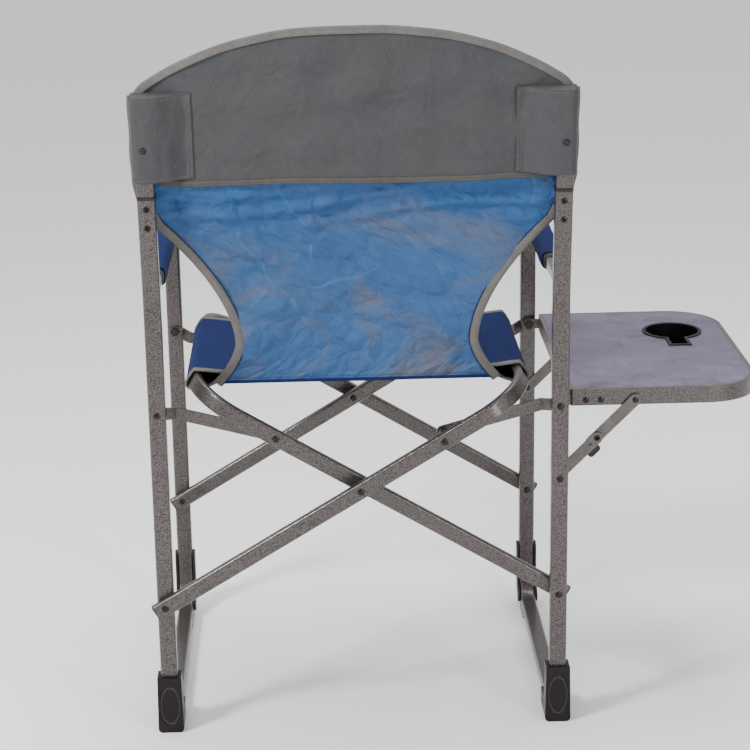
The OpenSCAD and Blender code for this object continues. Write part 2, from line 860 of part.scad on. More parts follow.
module back_panel() place() color(lining) {
    steps = 28;
    heights = [for (i = [0:steps]) seat_rear_z + 3 + (hem_z - seat_rear_z - 5) * i / steps];
    right_edge = [for (z = heights) [panel_half(z), -(hem_z - z) / cos(slope)]];
    left_edge = [for (i = [steps:-1:0]) [-right_edge[i][0], right_edge[i][1]]];
    translate([0, hem_y, hem_z])
        rotate([90 - slope, 0, 0]) linear_extrude(cloth) polygon(concat(right_edge, left_edge));
}

// Grey top of the back: a flat panel in front of the posts with an arched upper edge
module back_top() place() color(canvas)
    translate([0, rear_y, lean_z])
        rotate([-lean, 0, 0])
            translate([0, -post_t / 2 - pocket_front - 0.2, 0])
                rotate([90, 0, 0])
                    linear_extrude(cloth)
                        intersection() {
                            arch_r = (pow(back_half_w, 2) + pow(arch_rise, 2)) / (2 * arch_rise);
                            translate([-back_half_w, hem_h])
                                square([2 * back_half_w, corner_h + arch_rise - hem_h]);
                            translate([0, corner_h + arch_rise - arch_r]) circle(arch_r, $fn = 256);
                        }

// Grey pocket that slips over the post behind that panel
module post_sleeve(side) place() color(canvas)
    leaning(side)
        translate([0, 0, hem_h])
            difference() {
                outer_x = back_half_w - half;
                inner_x = outer_x - flap_w;
                x0 = side > 0 ? inner_x : -outer_x;
                translate([x0, -post_t / 2 - pocket_front, 0])
                    cube([flap_w, post_t + 2 * pocket_front + flap_t, corner_h - hem_h]);
                translate([x0 + pocket_wall, -post_t / 2 - gap, -1])
                    cube([flap_w - 2 * pocket_wall, post_t + 2 * gap, corner_h - hem_h - pocket_wall + 1]);
                translate([0, 0, sleeve_screw_h - hem_h]) rod_y(0, 0, 0, leg_t, sleeve_screw_r + fit_gap);
            }

module sleeve_screws(side) place() color(black)
    leaning(side) {
        flap_face = post_t / 2 + pocket_front + flap_t;
        rod_y(0, sleeve_screw_h, 2, flap_face, sleeve_screw_r);
        head_y(0, sleeve_screw_h, flap_face, 1, small_head_r);
    }

// ---- Nodes ----

front_tube(-1);  // front_tube_right
front_tube(1);  // front_tube_left
rear_leg(-1);  // rear_leg_right
rear_leg(1);  // rear_leg_left
back_post(-1);  // back_post_right
back_post(1);  // back_post_left
post_collar(-1);  // post_collar_right
post_collar(1);  // post_collar_left
post_cap(-1);  // post_cap_right
post_cap(1);  // post_cap_left
front_shoe(-1);  // front_shoe_right
front_shoe(1);  // front_shoe_left
rear_boot(-1);  // rear_boot_right
rear_boot(1);  // rear_boot_left
arm_foam(-1);  // arm_foam_right
arm_foam(1);  // arm_foam_left
arm_sleeve(-1);  // arm_sleeve_right
arm_sleeve(1);  // arm_sleeve_left
side_rivets(-1);  // side_rivets_right
side_rivets(1);  // side_rivets_left
stay_bolts(-1);  // stay_bolts_right
stay_bolts(1);  // stay_bolts_left
stay_nuts(-1);  // stay_nuts_right
stay_nuts(1);  // stay_nuts_left
place() color(steel) cross_tube();  // cross_frame_p
place() color(steel) half_turn() cross_tube();  // cross_frame_q
place() color(black) cross_plugs();  // cross_plugs_p
place() color(black) half_turn() cross_plugs();  // cross_plugs_q
place() color(rivet_colour) cross_rivets(true);  // cross_rivets_p
place() color(rivet_colour) half_turn() cross_rivets(false);  // cross_rivets_q
place() color(steel) cross_spacers(true);  // cross_spacers_p
place() color(steel) half_turn() cross_spacers(false);  // cross_spacers_q
place() color(steel) stay_link();  // stay_link_rear_right
place() color(steel) mirror_y(-1) stay_link();  // stay_link_front_right
place() color(steel) half_turn() mirror_y(-1) stay_link();  // stay_link_rear_left
place() color(steel) half_turn() stay_link();  // stay_link_front_left
table_rim();
table_panel();
table_hinge_straps();
table_rivets();
cup_holder();
brace_lower(1);  // brace_lower_rear
brace_lower(-1);  // brace_lower_front
brace_upper(1);  // brace_upper_rear
brace_upper(-1);  // brace_upper_front
brace_tab(1);  // brace_tab_rear
brace_tab(-1);  // brace_tab_front
place() color(navy) seat_sleeve();  // seat_sleeve_left
place() color(navy) half_turn() seat_sleeve();  // seat_sleeve_right
seat_sling();
back_panel();
back_top();
post_sleeve(-1);  // post_sleeve_right
post_sleeve(1);  // post_sleeve_left
sleeve_screws(-1);  // sleeve_screws_right
sleeve_screws(1);  // sleeve_screws_left
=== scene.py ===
import bmesh, bpy, math, random
import numpy as np
from mathutils import Matrix, Vector
from mathutils.geometry import delaunay_2d_cdt

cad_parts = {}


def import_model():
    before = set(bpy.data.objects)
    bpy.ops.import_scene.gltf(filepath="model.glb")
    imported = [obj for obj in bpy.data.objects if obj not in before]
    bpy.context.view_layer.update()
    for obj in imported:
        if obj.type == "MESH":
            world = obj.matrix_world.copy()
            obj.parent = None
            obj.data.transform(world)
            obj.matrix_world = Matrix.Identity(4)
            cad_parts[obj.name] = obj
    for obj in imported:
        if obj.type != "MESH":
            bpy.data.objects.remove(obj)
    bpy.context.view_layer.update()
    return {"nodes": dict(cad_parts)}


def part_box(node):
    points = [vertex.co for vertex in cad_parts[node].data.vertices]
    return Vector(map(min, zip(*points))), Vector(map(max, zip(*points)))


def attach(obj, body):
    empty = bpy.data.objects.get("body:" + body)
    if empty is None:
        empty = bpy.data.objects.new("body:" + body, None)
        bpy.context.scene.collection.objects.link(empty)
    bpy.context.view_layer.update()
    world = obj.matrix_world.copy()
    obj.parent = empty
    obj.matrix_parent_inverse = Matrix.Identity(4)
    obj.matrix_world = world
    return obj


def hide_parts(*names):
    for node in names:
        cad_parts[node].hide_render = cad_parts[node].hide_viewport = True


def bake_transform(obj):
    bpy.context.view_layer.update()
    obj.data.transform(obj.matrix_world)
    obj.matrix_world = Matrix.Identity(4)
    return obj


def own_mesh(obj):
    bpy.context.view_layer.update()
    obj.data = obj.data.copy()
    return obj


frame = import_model()

# ---- The chair's own millimetres: x to the sitter's left, y to the rear, z up ----
HALF = 255          # from the middle to a leg's middle
POST_Y = 200        # from the middle to a rear leg's middle
FRONT_FACE = 208    # from the middle to the front tubes' front faces
LEAN_Z = 589        # where the posts begin to lean
LEAN = math.radians(7.1)
LOW_PIVOT_Z = 179   # the crossing frames' lower pivots
OPEN, FOLDED = math.radians(31), math.radians(71)   # slope of the crossing frames
ARM = HALF / math.cos(OPEN)   # from the crossing frames' centre pivot to a lower pivot
STAY_REACH = 125    # from the centre pivot to the stay links' rivets
# Height of the stay links' pivots, which makes the links fit both the open and the folded chair
STAY_Z = LOW_PIVOT_Z + 2 * ARM * STAY_REACH * (math.sin(OPEN) + math.sin(FOLDED)) / (ARM + STAY_REACH)
BRACE_REACH = 98    # from the table's pivot to the braces' pivots
# Where the chair's middle lies in the frame
RX = (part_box("rear_leg_left")[0].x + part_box("rear_leg_left")[1].x) * 500 - HALF
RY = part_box("front_tube_left")[0].y * 1000 + FRONT_FACE
OFF = np.array([RX, RY, 0.0])


def world(x, y, z):
    return Vector(((x + RX) / 1000, (y + RY) / 1000, z / 1000))


def leaning(x, y, h):
    """Points in the frame of the leaning posts: y is behind the post's middle and h runs up it."""
    x, y, h = np.broadcast_arrays(x, y, h)
    c, s = math.cos(LEAN), math.sin(LEAN)
    return np.stack([x, POST_Y + y * c + h * s, LEAN_Z - y * s + h * c], -1).astype(float)


REARWARD = leaning(0, 1, 0) - leaning(0, 0, 0)
UPWARD = leaning(0, 0, 1) - leaning(0, 0, 0)


# ---- Camera ----
def camera():
    pitch, yaw, roll = math.radians(16.8), math.radians(1.7), math.radians(-0.9)
    forward = Vector((-math.sin(yaw) * math.cos(pitch), -math.cos(yaw) * math.cos(pitch), -math.sin(pitch)))
    right = Vector((-math.cos(yaw), math.sin(yaw), 0))
    up = right.cross(forward)
    x_axis = math.cos(roll) * right + math.sin(roll) * up
    y_axis = -math.sin(roll) * right + math.cos(roll) * up
    data = bpy.data.cameras.new("camera")
    data.lens, data.sensor_width = 100.6416, 36
    data.clip_start, data.clip_end = 0.05, 50
    cam = bpy.data.objects.new("camera", data)
    bpy.context.collection.objects.link(cam)
    place = Matrix.Translation(world(54.4, 2728, 1244.7))
    cam.matrix_world = place @ Matrix((x_axis, y_axis, -forward)).transposed().to_4x4()
    bpy.context.scene.camera = cam


camera()


# ---- Materials ----
def node(nt, kind, inputs=None, **props):
    n = nt.nodes.new(kind)
    for k, v in props.items():
        setattr(n, k, v)
    for k, v in (inputs or {}).items():
        if isinstance(v, bpy.types.NodeSocket):
            nt.links.new(v, n.inputs[k])
        else:
            n.inputs[k].default_value = v
    return n


def start(name, **sockets):
    m = bpy.data.materials.new(name)
    m.use_nodes = True
    bsdf = m.node_tree.nodes["Principled BSDF"]
    for k, v in sockets.items():
        bsdf.inputs[k.replace("_", " ")].default_value = v
    return m, m.node_tree, bsdf


def coords(nt, kind="Object"):
    return node(nt, "ShaderNodeTexCoord").outputs[kind]


def position(nt):
    """Where a point of a CAD node is, in the frame's metres."""
    return node(nt, "ShaderNodeSeparateXYZ", {0: coords(nt)}).outputs


def noise(nt, vec, scale, detail=2.0, rough=0.5, distortion=0.0):
    return node(nt, "ShaderNodeTexNoise", {"Vector": vec, "Scale": scale, "Detail": detail,
                                           "Roughness": rough, "Distortion": distortion}).outputs[0]


def ramp(nt, fac, stops, smooth=False):
    r = node(nt, "ShaderNodeValToRGB", {0: fac})
    e = r.color_ramp.elements
    while len(e) < len(stops):
        e.new(0.5)
    for el, (p, c) in zip(e, stops):
        el.position = p
        el.color = (*c, 1) if hasattr(c, "__len__") else (c, c, c, 1)
    if smooth:
        r.color_ramp.interpolation = "EASE"
    return r.outputs[0]


def math_node(nt, op, a, b=0.0):
    return node(nt, "ShaderNodeMath", {0: a, 1: b}, operation=op).outputs[0]


def add(nt, a, b):
    return math_node(nt, "ADD", a, b)


def times(nt, a, b):
    return math_node(nt, "MULTIPLY", a, b)


def length(nt, x, z):
    return math_node(nt, "SQRT", add(nt, times(nt, x, x), times(nt, z, z)))


def mix(nt, fac, a, b):
    n = nt.nodes.new("ShaderNodeMix")
    n.data_type = "RGBA"
    for i, v in ((0, fac), (6, a), (7, b)):
        if isinstance(v, bpy.types.NodeSocket):
            nt.links.new(v, n.inputs[i])
        else:
            n.inputs[i].default_value = v if i == 0 else (*v, 1)
    return n.outputs[2]


def finish(nt, bsdf, color, rough, height, distance, strength, bevel=0.0):
    """Links the colour, the roughness where there is one, and a bump, over rounded edges if bevel is set."""
    nt.links.new(color, bsdf.inputs["Base Color"])
    if rough is not None:
        nt.links.new(rough, bsdf.inputs["Roughness"])
    bump = {"Height": height, "Distance": distance, "Strength": strength}
    if bevel:
        bump["Normal"] = node(nt, "ShaderNodeBevel", {"Radius": bevel}, samples=6).outputs[0]
    nt.links.new(node(nt, "ShaderNodeBump", bump).outputs[0], bsdf.inputs["Normal"])


def hammertone():
    """Grey paint with a hammered speckle, for the tubes."""
    m, nt, b = start("hammertone_paint", Metallic=0.72, Roughness=0.3, Coat_Weight=0.5, Coat_Roughness=0.12)
    v = coords(nt)
    cells = node(nt, "ShaderNodeTexVoronoi", {"Vector": v, "Scale": 720.0, "Randomness": 1.0}).outputs[0]
    fine = noise(nt, v, 1300.0, 2.0, 0.6)
    fac = add(nt, times(nt, cells, 0.7), times(nt, fine, 0.5))
    c = ramp(nt, fac, [(0.27, (0.206, 0.183, 0.171)), (0.5, (0.094, 0.081, 0.075)),
                       (0.82, (0.026, 0.021, 0.019))])
    wide = noise(nt, v, 7.0, 4.0, 0.6)
    c = mix(nt, ramp(nt, wide, [(0.35, 0.0), (0.75, 0.35)]), c, (0.060, 0.050, 0.045))
    finish(nt, b, c, ramp(nt, fac, [(0.2, 0.24), (0.9, 0.42)]), cells, 0.0004, 0.7, 0.0010)
    return m


def link_steel():
    """Dull grey links; the rivets that are one solid with the upper links are darker."""
    m, nt, b = start("link_steel", Metallic=0.8, Roughness=0.36)
    v = coords(nt)
    n1 = noise(nt, v, 420.0, 3.0)
    n2 = noise(nt, v, 60.0, 4.0, 0.6)
    c = ramp(nt, n2, [(0.3, (0.085, 0.076, 0.070)), (0.7, (0.140, 0.128, 0.120))])
    x, _, z = position(nt)
    knee = world(-HALF - BRACE_REACH / 2, 0, STAY_Z - BRACE_REACH / 2)
    r = length(nt, math_node(nt, "SUBTRACT", x, knee.x), math_node(nt, "SUBTRACT", z, knee.z))
    c = mix(nt, ramp(nt, times(nt, r, 100.0), [(0.40, 0.0), (0.43, 1.0)]), (0.030, 0.024, 0.021), c)
    finish(nt, b, c, ramp(nt, n1, [(0.3, 0.28), (0.8, 0.5)]), n1, 0.00005, 0.5, 0.0006)
    return m


def rivet_metal():
    """Dark rivet heads, some of them a little rusty."""
    m, nt, b = start("rivet_metal", Metallic=0.9, Roughness=0.24, Coat_Weight=0.2, Coat_Roughness=0.06)
    v = coords(nt)
    n = noise(nt, v, 300.0, 4.0, 0.6)
    stain = noise(nt, v, 24.0, 2.0)
    c = ramp(nt, n, [(0.3, (0.010, 0.008, 0.007)), (0.7, (0.034, 0.028, 0.024))])
    c = mix(nt, ramp(nt, stain, [(0.60, 0.0), (0.72, 0.5)]), c, (0.075, 0.032, 0.016))
    finish(nt, b, c, ramp(nt, n, [(0.3, 0.26), (0.8, 0.46)]), n, 0.00006, 0.5, 0.0006)
    return m


def plastic(name, base, rough, grain, bevel, spec=0.35, highlight_mask=None):
    """Scuffed black plastic. mark(nt) says where a highlight is painted on it."""
    m, nt, b = start(name, Roughness=rough)
    v = coords(nt)
    n = noise(nt, v, grain, 3.0, 0.6)
    scuff = noise(nt, v, 30.0, 5.0, 0.65, 0.6)
    b.inputs["Specular IOR Level"].default_value = spec
    lighter = tuple(x * 2.4 + 0.004 for x in base)
    c = mix(nt, ramp(nt, scuff, [(0.48, 0.0), (0.78, 0.55)]), base, lighter)
    # A highlight is painted where the given mask says: a lighter grey, mottled by the grain.
    if highlight_mask:
        wear_and_highlight = highlight_mask(nt)
        c = mix(nt, times(nt, wear_and_highlight, ramp(nt, n, [(0.3, 0.4), (0.6, 1.0)])), c, (0.050, 0.045, 0.046))
    finish(nt, b, c, ramp(nt, scuff, [(0.3, rough - 0.08), (0.75, rough + 0.16)]), n, 0.00012, 0.45, bevel)
    return m


def boot_oval_highlight(nt):
    """Where a highlight is painted along the rim of the oval on both boots' rear faces."""
    half_wide, half_high, middle = 0.0125, 0.027, world(0, 0, 38)
    x, _, z = position(nt)
    x = math_node(nt, "ABSOLUTE", math_node(nt, "SUBTRACT", x, middle.x))
    x = math_node(nt, "DIVIDE", math_node(nt, "SUBTRACT", x, HALF / 1000), half_wide)
    z = math_node(nt, "DIVIDE", math_node(nt, "SUBTRACT", z, middle.z), half_high)
    return ramp(nt, length(nt, x, z), [(0.88, 0.0), (0.95, 1.0), (1.0, 0.9), (1.05, 0.0)])


def foam():
    m, nt, b = start("foam", Roughness=0.92)
    v = coords(nt)
    cells = node(nt, "ShaderNodeTexVoronoi", {"Vector": v, "Scale": 620.0}).outputs[0]
    c = ramp(nt, cells, [(0.1, (0.012, 0.012, 0.013)), (0.8, (0.032, 0.032, 0.034))])
    finish(nt, b, c, None, cells, 0.0004, 0.6)
    return m


BANDS = 0.314   # a wave texture's scale times the spacing of its bands


def weave(nt, kind, across, along):
    """Coordinates, a slow jitter and the heights of a plain weave's two sets of threads, spaced in metres."""
    v = coords(nt, kind)
    jitter = noise(nt, v, 90.0, 2.0)
    threads = [node(nt, "ShaderNodeTexWave", {"Vector": v, "Scale": BANDS / spacing, "Distortion": 0.9,
                                              "Detail": 1.0, "Detail Scale": 2.0},
                    bands_direction=direction).outputs[1]
               for spacing, direction in ((across, "X"), (along, "Y"))]
    return v, jitter, *threads


def cloth(name, dark, light, across=0.0014, along=0.0011, kind="UV", rough=0.85, stain=(0.1, 0.1, 0.1),
          patches=0.25, depth=0.00035, ribs=0.5, rumple=0.0):
    """Woven cloth. ribs is the share of the threads that run one way, and rumple the depth of soft dents."""
    m, nt, b = start(name, Roughness=rough)
    b.inputs["Specular IOR Level"].default_value = 0.12
    v, jitter, a, c = weave(nt, kind, across, along)
    h = add(nt, times(nt, a, ribs), times(nt, c, 1 - ribs))
    f = add(nt, times(nt, h, 0.5), times(nt, jitter, 0.5))
    f = add(nt, f, times(nt, noise(nt, v, 1600.0, 2.0, 0.7), 0.3))
    col = ramp(nt, f, [(0.3, dark), (0.95, light)])
    wide = noise(nt, v, 9.0, 5.0, 0.62, 0.5)
    col = mix(nt, ramp(nt, wide, [(0.42, 0.0), (0.75, patches)]), col, stain)
    if rumple:
        soft = noise(nt, v, 24.0, 4.0, 0.55, 1.2)
        h = add(nt, h, times(nt, soft, rumple / depth))
    finish(nt, b, col, None, h, depth, 0.7)
    return m


def coated_lining():
    """The creased, worn coating on the inner side of the back's lower panel."""
    m, nt, b = start("coated_lining", Roughness=0.5, Coat_Weight=0.06, Coat_Roughness=0.25)
    b.inputs["Specular IOR Level"].default_value = 0.25
    v, _, a, c = weave(nt, "UV", 0.0011, 0.0011)
    crease = node(nt, "ShaderNodeAttribute", attribute_name="crease").outputs["Fac"]
    up = times(nt, node(nt, "ShaderNodeSeparateXYZ", {0: v}).outputs[1], 3.4)   # 0 at the seat, 1 at the hem
    wide = noise(nt, v, 7.0, 4.0, 0.6, 0.6)
    grime = noise(nt, v, 6.5, 5.0, 0.66, 0.9)
    wear_and_highlight = noise(nt, v, 26.0, 6.0, 0.72, 1.6)
    fleck = noise(nt, v, 150.0, 4.0, 0.75, 0.5)
    col = ramp(nt, wide, [(0.3, (0.018, 0.070, 0.190)), (0.7, (0.032, 0.094, 0.222))])
    height = ramp(nt, up, [(0.55, 0.0), (0.95, 0.75)], True)
    col = mix(nt, height, col, (0.010, 0.068, 0.200))
    low = ramp(nt, up, [(0.75, 1.0), (0.95, 0.15)])
    dirt = times(nt, ramp(nt, grime, [(0.46, 0.0), (0.62, 0.82)]), low)
    col = mix(nt, dirt, col, (0.088, 0.094, 0.125))
    col = mix(nt, ramp(nt, wear_and_highlight, [(0.52, 0.0), (0.75, 0.42)]), col, (0.050, 0.125, 0.245))
    col = mix(nt, ramp(nt, fleck, [(0.60, 0.0), (0.72, 0.28)]), col, (0.085, 0.160, 0.260))
    broken = times(nt, crease, ramp(nt, noise(nt, v, 60.0, 3.0), [(0.35, 0.25), (0.6, 1.0)]))
    col = mix(nt, times(nt, broken, 0.38), col, (0.085, 0.215, 0.37))
    bent = node(nt, "ShaderNodeVectorMath", {0: node(nt, "ShaderNodeTexNoise", {"Vector": v, "Scale": 14.0,
                "Detail": 3.0}).outputs[1], 1: (0.035, 0.035, 0.035)}, operation="MULTIPLY").outputs[0]
    bent = node(nt, "ShaderNodeVectorMath", {0: v, 1: bent}, operation="ADD").outputs[0]
    h = times(nt, noise(nt, v, 55.0, 5.0, 0.6, 0.8), 0.25)
    for scale, share in ((15.0, 1.0), (36.0, 0.45)):
        facet = node(nt, "ShaderNodeTexVoronoi", {"Vector": bent, "Scale": scale}, feature="DISTANCE_TO_EDGE")
        h = add(nt, h, times(nt, facet.outputs[0], share))
    h = add(nt, h, times(nt, add(nt, a, c), 0.008))
    finish(nt, b, col, ramp(nt, wear_and_highlight, [(0.3, 0.42), (0.8, 0.62)]), h, 0.016, 0.9)
    return m


def board():
    """The table's smeared grey-violet laminate."""
    m, nt, b = start("laminate_board", Roughness=0.45)
    b.inputs["Specular IOR Level"].default_value = 0.3
    v = coords(nt)
    fleck = node(nt, "ShaderNodeTexVoronoi", {"Vector": v, "Scale": 900.0}).outputs[1]
    grey = node(nt, "ShaderNodeSeparateColor", {0: fleck}).outputs[0]
    smear = noise(nt, v, 12.0, 6.0, 0.68, 1.4)
    c = ramp(nt, grey, [(0.1, (0.088, 0.070, 0.118)), (0.9, (0.120, 0.098, 0.155))])
    c = mix(nt, ramp(nt, smear, [(0.44, 0.0), (0.66, 0.6)]), c, (0.160, 0.138, 0.190))
    dark_smear = ramp(nt, noise(nt, v, 25.0, 5.0, 0.7, 0.8), [(0.51, 0.0), (0.64, 0.75)])
    c = mix(nt, dark_smear, c, (0.066, 0.053, 0.084))
    finish(nt, b, c, ramp(nt, smear, [(0.3, 0.34), (0.75, 0.56)]), grey, 0.00004, 0.4)
    return m


PAINT, STEEL, RIVET = hammertone(), link_steel(), rivet_metal()
BLACK = plastic("moulded_black", (0.0085, 0.0058, 0.0062), 0.32, 520.0, 0.0016)
BOOT = plastic("boot_black", (0.0075, 0.0050, 0.0055), 0.34, 520.0, 0.0016, spec=0.2, highlight_mask=boot_oval_highlight)
CUP = plastic("cup_black", (0.006, 0.0055, 0.0065), 0.36, 260.0, 0.0012, spec=0.12)
FOAM = foam()
CANVAS = cloth("grey_canvas", (0.044, 0.045, 0.048), (0.066, 0.067, 0.071), 0.0016, 0.0012,
               stain=(0.074, 0.066, 0.057), patches=0.45, depth=0.0003, rumple=0.006)
TAUPE = cloth("taupe_binding", (0.075, 0.069, 0.064), (0.150, 0.140, 0.132), 0.0012, 0.0026, rough=0.7,
              stain=(0.19, 0.18, 0.17))
NAVY = cloth("navy_oxford", (0.0035, 0.0085, 0.042), (0.0085, 0.0190, 0.092), 0.0024, 0.0012,
             stain=(0.011, 0.024, 0.115), patches=0.2, depth=0.0006, ribs=0.72)
# Painted shade: the navy cloth's inner face in the seat sleeves and arm covers, made near black for the shade
# inside them.
SHADED_INSIDE = cloth("sleeve_inside_shade", (0.002, 0.0025, 0.005), (0.005, 0.006, 0.011), rough=0.9, patches=0.0)
HEM_TAPE = cloth("hem_tape", (0.040, 0.036, 0.033), (0.090, 0.083, 0.077), 0.0012, 0.0026, rough=0.75,
                 stain=(0.11, 0.10, 0.09), patches=0.3)
LINING = coated_lining()
THREAD = cloth("thread", (0.075, 0.072, 0.068), (0.155, 0.148, 0.140), 0.0006, 0.0006, kind="Object",
               patches=0.0)
NAVY_THREAD = cloth("navy_thread", (0.010, 0.015, 0.045), (0.025, 0.035, 0.09), 0.0006, 0.0006, kind="Object",
                    patches=0.0)
BOARD = board()

for name, obj in frame["nodes"].items():
    if any(k in name for k in ("rivets", "bolts", "nuts")):
        m = RIVET
    elif "brace_tab" in name or any(k in name for k in ("shoe", "collar", "cap_", "plugs", "screws")):
        m = BLACK
    elif "rear_boot" in name:
        m = BOOT
    elif name.startswith("brace"):
        m = STEEL
    elif name == "cup_holder":
        m = CUP
    elif name == "table_panel":
        m = BOARD
    else:
        m = PAINT
    obj.data.materials.clear()
    obj.data.materials.append(m)


# ---- Mesh building ----
def make(name, verts, faces, mats, face_mats=None, uvs=None, attr=None, angle=40):
    me = bpy.data.meshes.new(name)
    v = (np.asarray(verts, float) + OFF) / 1000
    me.from_pydata([tuple(p) for p in v], [], [tuple(int(i) for i in f) for f in faces])
    for m in mats:
        me.materials.append(m)
    if face_mats is not None:
        me.polygons.foreach_set("material_index", np.asarray(face_mats, np.int32))
    if uvs is not None:
        layer = me.uv_layers.new(name="UVMap")
        idx = np.zeros(len(me.loops), np.int32)
        me.loops.foreach_get("vertex_index", idx)
        layer.data.foreach_set("uv", np.asarray(uvs, np.float32)[idx].ravel())
    if attr is not None:
        a = me.attributes.new("crease", "FLOAT", "POINT")
        a.data.foreach_set("value", np.asarray(attr, np.float32))
    me.polygons.foreach_set("use_smooth", np.ones(len(me.polygons), bool))
    me.validate()
    me.update()
    me.set_sharp_from_angle(angle=math.radians(angle))
    obj = bpy.data.objects.new(name, me)
    bpy.context.collection.objects.link(obj)
    return obj


def lengths(P, axis):
    d = np.linalg.norm(np.diff(P, axis=axis), axis=-1)
    pad = [(0, 0), (0, 0)]
    pad[axis] = (1, 0)
    return np.pad(np.cumsum(d, axis=axis), pad)


def normals(P, closed=False):
    du = (np.roll(P, -1, 1) - np.roll(P, 1, 1)) if closed else np.gradient(P, axis=1)
    dv = np.gradient(P, axis=0)
    n = np.cross(du, dv)
    return n / np.maximum(np.linalg.norm(n, axis=-1, keepdims=True), 1e-9)


def sheet_piece(name, P, thick, mats, crease=None, closed=False):
    """A sheet through the grid P (rows, columns, xyz). mats are for its +normal side, other side and rim."""
    nv, nu = P.shape[:2]
    n = normals(P, closed)
    verts = np.concatenate([(P + n * thick / 2).reshape(-1, 3), (P - n * thick / 2).reshape(-1, 3)])
    off = nv * nu
    cols = nu if closed else nu - 1
    i, j = np.meshgrid(np.arange(nv - 1), np.arange(cols), indexing="ij")
    j2 = (j + 1) % nu
    quad = np.stack([i * nu + j, i * nu + j2, (i + 1) * nu + j2, (i + 1) * nu + j], -1).reshape(-1, 4)
    faces = [quad, quad[:, ::-1] + off]
    fm = [np.zeros(len(quad)), np.ones(len(quad))]
    loops = [[(0, k) for k in range(nu)], [(nv - 1, k) for k in range(nu)][::-1]]
    if not closed:
        loops = [[(0, k) for k in range(nu)] + [(k, nu - 1) for k in range(1, nv)]
                 + [(nv - 1, k) for k in range(nu - 2, -1, -1)] + [(k, 0) for k in range(nv - 2, 0, -1)]]
    for loop in loops:
        ids = np.array([a * nu + b for a, b in loop])
        nxt = np.roll(ids, -1)
        rim = np.stack([ids, ids + off, nxt + off, nxt], -1)
        faces.append(rim)
        fm.append(np.full(len(rim), 2 if len(mats) > 2 else 0))
    u, v = lengths(P, 1) / 1000, lengths(P, 0) / 1000
    uv = np.stack([u, v], -1).reshape(-1, 2)
    cr = None if crease is None else np.concatenate([crease.ravel()] * 2)
    obj = make(name, verts, np.concatenate(faces), mats, np.concatenate(fm), np.concatenate([uv, uv]), cr, 60)
    cells = np.cross(P[1:, 1:] - P[:-1, :-1], P[1:, :-1] - P[:-1, 1:])
    obj["sheet_area"] = float(np.linalg.norm(cells, axis=-1).sum()) / 2e6
    return obj


def resample(points, step):
    p = np.asarray(points, float)
    s = np.concatenate([[0], np.cumsum(np.linalg.norm(np.diff(p, axis=0), axis=1))])
    t = np.linspace(0, s[-1], max(2, int(round(s[-1] / step)) + 1))
    return np.stack([np.interp(t, s, p[:, k]) for k in range(3)], -1)


def unit(a):
    return a / np.maximum(np.linalg.norm(a, axis=-1, keepdims=True), 1e-9)


def sweep(name, path, side, out, section, mats, smooth=60):
    """section is a closed loop of (side, out) offsets; side and out are directions along the path."""
    path, side, out = (np.asarray(a, float) for a in (path, side, out))
    side, out = np.broadcast_to(side, path.shape), np.broadcast_to(out, path.shape)
    if np.ndim(section) == 2:
        section = [section] * len(path)
    section = np.asarray(section, float)
    k = section.shape[1]
    V = path[:, None] + side[:, None] * section[..., 0:1] + out[:, None] * section[..., 1:2]
    n = len(path)
    i, j = np.meshgrid(np.arange(n - 1), np.arange(k), indexing="ij")
    j2 = (j + 1) % k
    quad = np.stack([i * k + j, i * k + j2, (i + 1) * k + j2, (i + 1) * k + j], -1).reshape(-1, 4)
    faces = [list(q) for q in quad]
    faces += [list(range(k))[::-1], [(n - 1) * k + a for a in range(k)]]
    s = np.concatenate([[0], np.cumsum(np.linalg.norm(np.diff(path, axis=0), axis=1))]) / 1000
    w = np.concatenate([[0], np.cumsum(np.linalg.norm(np.diff(section[0], axis=0), axis=1))]) / 1000
    uv = np.stack(np.broadcast_arrays(w[None, :], s[:, None]), -1).reshape(-1, 2)
    obj = make(name, V.reshape(-1, 3), faces, mats, None, uv, None, smooth)
    fix_normals(obj)
    return obj


def fix_normals(obj):
    bm = bmesh.new()
    bm.from_mesh(obj.data)
    bmesh.ops.recalc_face_normals(bm, faces=bm.faces)
    bm.to_mesh(obj.data)
    bm.free()


def band(inner, outer, half):
    """Section of a folded tape from `outer` beyond the edge to `inner` inside it."""
    r = 0.8
    upper = [(-outer, half * 0.5), (-outer + r, half), (inner - 0.5, half), (inner, half * 0.55)]
    lower = [(inner, -half * 0.55), (inner - 0.5, -half), (-outer + r, -half)]
    return [(-outer, -half * 0.5)] + upper + lower


def stitches(name, path, out, mats, lift, step=3.6, length=2.4):
    """A row of thread stitches along a path, lifted along `out` to lie on the cloth."""
    radius = 0.26
    p = resample(path, step)
    o = np.broadcast_to(np.asarray(out, float), np.asarray(path).shape)
    s0 = np.linspace(0, 1, len(o))
    t = (np.linspace(0, 1, len(p))[:-1] + np.linspace(0, 1, len(p))[1:]) / 2
    o = unit(np.stack([np.interp(t, s0, o[:, k]) for k in range(3)], -1))
    mid, d = (p[1:] + p[:-1]) / 2, unit(p[1:] - p[:-1])
    b = np.cross(d, o)
    verts, faces = [], []
    for m, dd, oo, bb in zip(mid, d, o, b):
        base = len(verts)
        m = m + oo * lift
        for e, f in ((-0.5, 0.35), (-0.32, 1), (0.32, 1), (0.5, 0.35)):
            for a in range(6):
                an = a * math.pi / 3
                drop = -0.3 * radius if abs(e) == 0.5 else 0
                verts.append(m + dd * e * length + bb * radius * f * 1.25 * math.cos(an)
                             + oo * (radius * f * math.sin(an) + drop))
        for r in range(3):
            for a in range(6):
                c = (a + 1) % 6
                faces.append([base + r * 6 + a, base + r * 6 + c, base + r * 6 + 6 + c, base + r * 6 + 6 + a])
        faces += [[base + a for a in range(6)][::-1], [base + 18 + a for a in range(6)]]
    obj = make(name, verts, faces, mats)
    fix_normals(obj)
    return obj


